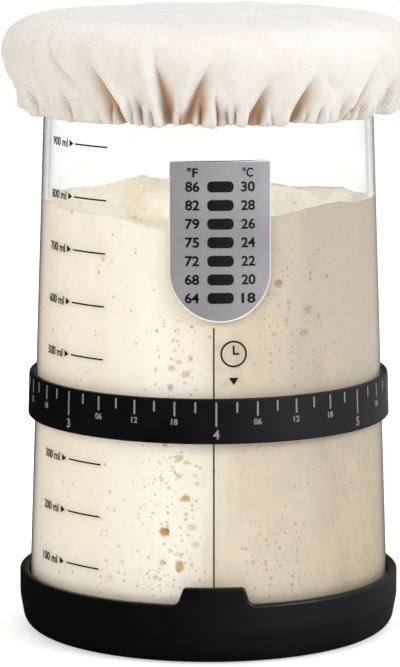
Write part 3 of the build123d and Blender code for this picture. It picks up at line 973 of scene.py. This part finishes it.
def printWords(name, words, material, radiusAt):
    # words: text, angle of its middle, height of its middle, height of a digit, width or 0
    prints = []
    for text, angle, z, tall, wide in words:
        curve = bpy.data.curves.new(name, "FONT")
        curve.body = text
        curve.size = tall / numbers["digitShare"]
        curve.align_x, curve.align_y = "CENTER", "CENTER"
        curve.extrude = numbers["ink"] / 2
        curve.offset = numbers["boldShare"] * tall
        prints.append(wrapRound(curve, angle, z, wide, radiusAt))
    return joinPrints(name, prints, material)


def flatShape(name, loops):
    # filled flat shape from closed loops of points; a loop inside another is a hole
    curve = bpy.data.curves.new(name, "CURVE")
    curve.dimensions, curve.fill_mode, curve.extrude = "2D", "BOTH", numbers["ink"] / 2
    for loop in loops:
        spline = curve.splines.new("POLY")
        spline.points.add(len(loop) - 1)
        for point, (x, y) in zip(spline.points, loop):
            point.co = (x, y, 0, 1)
        spline.use_cyclic_u = True
    return curve


volumeScale = {"angle": -63.2, "digit": 2.2 * mm, "wide": 8.6 * mm}
bandScale = {
    "proud": 1.9 * mm,
    "days": 7,
    "frontDay": 4,
    "startAngle": 0.7,
    "dayHeight": 62.7 * mm,
    "dayDigit": 2.4 * mm,
    "hours": ("06", "12", "18"),
    "hourHeight": 66.0 * mm,
    "hourDigit": 1.55 * mm,
}
thermometer = {
    "angle": 2.2,
    "top": 135.2 * mm,
    "middleDrop": 20 * mm,
    "proud": 0.25 * mm,
    "units": ("°F", "°C"),
    "unitDrop": 2.7 * mm,
    "unitTall": 2.3 * mm,
    "unitWide": 2.9 * mm,
    "across": (-7.5 * mm, 7.4 * mm),
    "rows": (("86", "30"), ("82", "28"), ("79", "26"), ("75", "24"), ("72", "22"), ("68", "20"), ("64", "18")),
    "firstDrop": 6.5 * mm,
    "pitch": 4.95 * mm,
    "digit": 2.55 * mm,
    "wide": 3.8 * mm,
    "halfWidth": 13.3 * mm,
    "straight": 29.0 * mm,     # from the top to where the round end begins
    "rim": 0.42 * mm,
    "rimProud": 0.1 * mm,
    "rimPoints": (40, 60, 36),     # up a side, round the end and across the top
}

words = []
for number in range(1, 10):
    low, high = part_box(f"volume_mark_{number}00")
    words.append((f"{number}00 ml", volumeScale["angle"], (low[2] + high[2]) / 2, volumeScale["digit"],
                  volumeScale["wide"]))
volumeNumbers = printWords("volumeNumbers", words, blackInk, glassRadius)
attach(volumeNumbers, "jar")

words = []
stripRadius = glassRadius(thermometer["top"] - thermometer["middleDrop"])
for side, (across, unit) in enumerate(zip(thermometer["across"], thermometer["units"])):
    angle = thermometer["angle"] + math.degrees(across / stripRadius)
    words.append((unit, angle, thermometer["top"] - thermometer["unitDrop"], thermometer["unitTall"],
                  thermometer["unitWide"]))
    for row, pair in enumerate(thermometer["rows"]):
        z = thermometer["top"] - thermometer["firstDrop"] - row * thermometer["pitch"]
        words.append((pair[side], angle, z, thermometer["digit"], thermometer["wide"]))
stripNumbers = printWords("thermometerNumbers", words, blackInk,
                          lambda z: glassRadius(z) + thermometer["proud"])
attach(stripNumbers, "jar")

words = []
for day in range(bandScale["days"]):
    start = bandScale["startAngle"] + day * 360 / bandScale["days"]
    number = (bandScale["frontDay"] - 1 + day) % bandScale["days"] + 1
    words.append((str(number), start, bandScale["dayHeight"], bandScale["dayDigit"], 0))
    for quarter, text in enumerate(bandScale["hours"], start=1):
        angle = start + quarter * 360 / (4 * bandScale["days"])
        words.append((text, angle, bandScale["hourHeight"], bandScale["hourDigit"], 0))
ringNumbers = printWords("bandNumbers", words, whiteInk, lambda z: glassRadius(z) + bandScale["proud"])
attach(ringNumbers, "band")

# a small clock and an arrow stand beside the line, where the jar says when the starter was last fed
feedSign = {
    "angle": 6.4,
    "height": 84.0 * mm,
    "radius": 3.6 * mm,
    "line": 0.5 * mm,
    "corners": 48,
    "hands": (0.62, 0.42),     # as shares of the radius
    "arrowHeight": 76.6 * mm,
    "arrowWide": 2.6 * mm,
    "arrowTall": 2.0 * mm,
}


def makeFeedSign():
    outer, line = feedSign["radius"], feedSign["line"]
    turns = roundAngles(feedSign["corners"])
    rings = [[(r * math.cos(t), r * math.sin(t)) for t in turns] for r in (outer, outer - line)]
    long, short = [outer * share for share in feedSign["hands"]]
    half = line / 2
    hands = [(-half, -half), (short, -half), (short, half), (half, half), (half, long), (-half, long)]
    wide, tall = feedSign["arrowWide"] / 2, feedSign["arrowTall"] / 2
    arrow = [(-wide, tall), (wide, tall), (0, -tall)]
    prints = []
    for name, loops, height in (("clock", rings + [hands], feedSign["height"]),
                                ("arrow", [arrow], feedSign["arrowHeight"])):
        prints.append(wrapRound(flatShape(name, loops), feedSign["angle"], height, 0, glassRadius))
    piece = joinPrints("feedSign", prints, blackInk)
    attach(piece, "jar")


makeFeedSign()


# the clear rim of the thermometer's film, which catches the light
def makeFilmRim():
    half, straight, rim = [thermometer[name] for name in ("halfWidth", "straight", "rim")]
    loops = []
    for out in (rim, 0.0):
        upSide, roundEnd, overTop = thermometer["rimPoints"]
        side = np.linspace(out, -straight, upSide)
        arc = np.linspace(math.pi, 2 * math.pi, roundEnd)[1:-1]
        reach = half + out
        across = np.linspace(reach, -reach, overTop)[1:-1]
        loop = [(-reach, y) for y in side]
        loop += [(reach * math.cos(t), -straight + reach * math.sin(t)) for t in arc]
        loop += [(reach, y) for y in side[::-1]] + [(x, out) for x in across]
        loops.append(loop)
    middle = thermometer["top"] + rim - (straight + half + 2 * rim) / 2
    bent = wrapRound(flatShape("rim", loops), thermometer["angle"], middle, 0,
                     lambda z: glassRadius(z) + thermometer["rimProud"])
    piece = joinPrints("thermometerRim", [bent], rimFilm)
    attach(piece, "jar")


makeFilmRim()
print("numbers printed")


# Studio
studio = {
    "floorRadius": 9.0,
    "floorCorners": 64,
    "floorColour": "#F2F2F2",
    "floorGlow": 0.45,                         # for the camera only, so that the floor shows white
    "floorInShine": ("#2A2A2A", "#BCBCBC"),    # in reflections, from left to right
    "shineAcross": (-0.05, 0.35),
    "worldLight": 0.6,
    "worldColour": "#FFFDFA",
    "worldAcross": (-0.15, 0.85),
    "worldShine": (0.03, 0.55),                # in reflections, from left to right
    "lampsAimAt": (0, 0, 0.08),
}


def paleFloor(tree, look):
    path = addNode(tree, "LightPath", {})
    # in reflections the floor is dark to the left, which keeps the silicone black there
    reflected = addNode(tree, "Math", {
        "operation": "SUBTRACT", "use_clamp": True, 0: path.outputs["Is Glossy Ray"],
        1: path.outputs["Is Transmission Ray"]})
    place = addNode(tree, "TexCoord", {}).outputs["Object"]
    apart = addNode(tree, "SeparateXYZ", {0: place})
    share = addNode(tree, "MapRange", {"Value": apart.outputs["X"], **ends("From", look["shineAcross"])})
    darker = paint(tree, share, enumerate(look["floorInShine"]))
    inShine = addNode(tree, "Mix", {
        "data_type": "RGBA", 0: reflected, 6: shade(look["floorColour"]), 7: darker})
    diffuse = addNode(tree, "BsdfDiffuse", {"Color": inShine})
    through = eitherRay(tree, "Is Camera Ray", "Is Transmission Ray")
    seen = addNode(tree, "Math", {"operation": "MULTIPLY", 0: through, 1: look["floorGlow"]})
    glow = addNode(tree, "Emission", {"Color": (1, 1, 1, 1), "Strength": seen})
    return addNode(tree, "AddShader", {0: diffuse, 1: glow})


def makeFloor():
    corners = studio["floorCorners"]
    ring = roundJar(studio["floorRadius"], roundAngles(corners), 0)
    finish = makeMaterial("floorPaleMatt", paleFloor, studio)
    floor = makePiece("studioFloor", ring, [tuple(range(corners))], finish, smooth=False)


def makeWorld():
    world = bpy.data.worlds.new("studioWorld")
    bpy.context.scene.world = world
    world.use_nodes = True
    tree = world.node_tree
    tree.nodes.clear()
    path = addNode(tree, "LightPath", {})
    seen = eitherRay(tree, "Is Camera Ray", "Is Transmission Ray")
    # the studio is darker to the left, which shows in the black silicone and along the glass
    heading = addNode(tree, "TexCoord", {}).outputs["Generated"]
    apart = addNode(tree, "SeparateXYZ", {0: heading})
    side = addNode(tree, "MapRange", {
        "Value": apart.outputs["X"], **ends("From", studio["worldAcross"]), **ends("To", studio["worldShine"])})
    shine = addNode(tree, "Math", {"operation": "MULTIPLY", 0: path.outputs["Is Glossy Ray"], 1: side})
    plain = addNode(tree, "Math", {"operation": "SUBTRACT", 0: 1.0, 1: path.outputs["Is Glossy Ray"]})
    level = addNode(tree, "Math", {"operation": "MULTIPLY", 0: plain, 1: studio["worldLight"]})
    seen = addNode(tree, "Math", {"operation": "MAXIMUM", 0: seen, 1: shine})
    light = addNode(tree, "Background", {"Color": shade(studio["worldColour"]), "Strength": level})
    white = addNode(tree, "Background", {"Color": (1, 1, 1, 1), "Strength": 1.0})
    both = addNode(tree, "MixShader", {0: seen, 1: light, 2: white})
    addNode(tree, "OutputWorld", {"Surface": both})


def pointAt(thing, target):
    toward = Vector(target) - thing.location
    thing.rotation_euler = toward.to_track_quat("-Z", "Y").to_euler()


lamps = {
    "keySoftbox": {
        "place": (1.05, -0.7, 0.66), "size": 0.45, "watts": 8.5, "colour": "#F8FAFF", "shines": True},
    "fillSoftbox": {
        "place": (-0.95, -1.0, 0.55), "size": 0.9, "watts": 7.2, "colour": "#FFF7EE", "shines": False},
    "topSoftbox": {
        "place": (0.1, 0.2, 1.2), "size": 0.7, "watts": 4.1, "colour": "#FFFDF8", "shines": False},
}


def makeLamps():
    for name, lamp in lamps.items():
        light = bpy.data.lights.new(name, "AREA")
        light.size = lamp["size"]
        light.energy = lamp["watts"]
        light.color = shade(lamp["colour"])[:3]
        holder = addObject(name, light)
        holder.location = lamp["place"]
        holder.visible_glossy = lamp["shines"]     # the fill gives no highlight on the black silicone
        pointAt(holder, studio["lampsAimAt"])


# Camera: a long lens, a little above the jar, turned a touch to the left of its front
view = {"away": 1.05, "height": 0.25, "turn": -1.7, "aimHeight": 0.082, "aimAcross": -2.37 * mm, "lens": 206.0,
        "sensor": 36}


def makeCamera():
    camera = bpy.data.cameras.new("photoCamera")
    camera.lens = view["lens"]
    camera.sensor_width = view["sensor"]
    holder = addObject("photoCamera", camera)
    turn = math.radians(view["turn"])
    holder.location = (view["away"] * math.sin(turn), -view["away"] * math.cos(turn), view["height"])
    aim = (view["aimAcross"] * math.cos(turn), view["aimAcross"] * math.sin(turn), view["aimHeight"])
    pointAt(holder, aim)
    bpy.context.scene.camera = holder


makeFloor()
makeWorld()
makeLamps()
makeCamera()
bpy.context.scene.view_settings.view_transform = "Standard"
print("studio made")
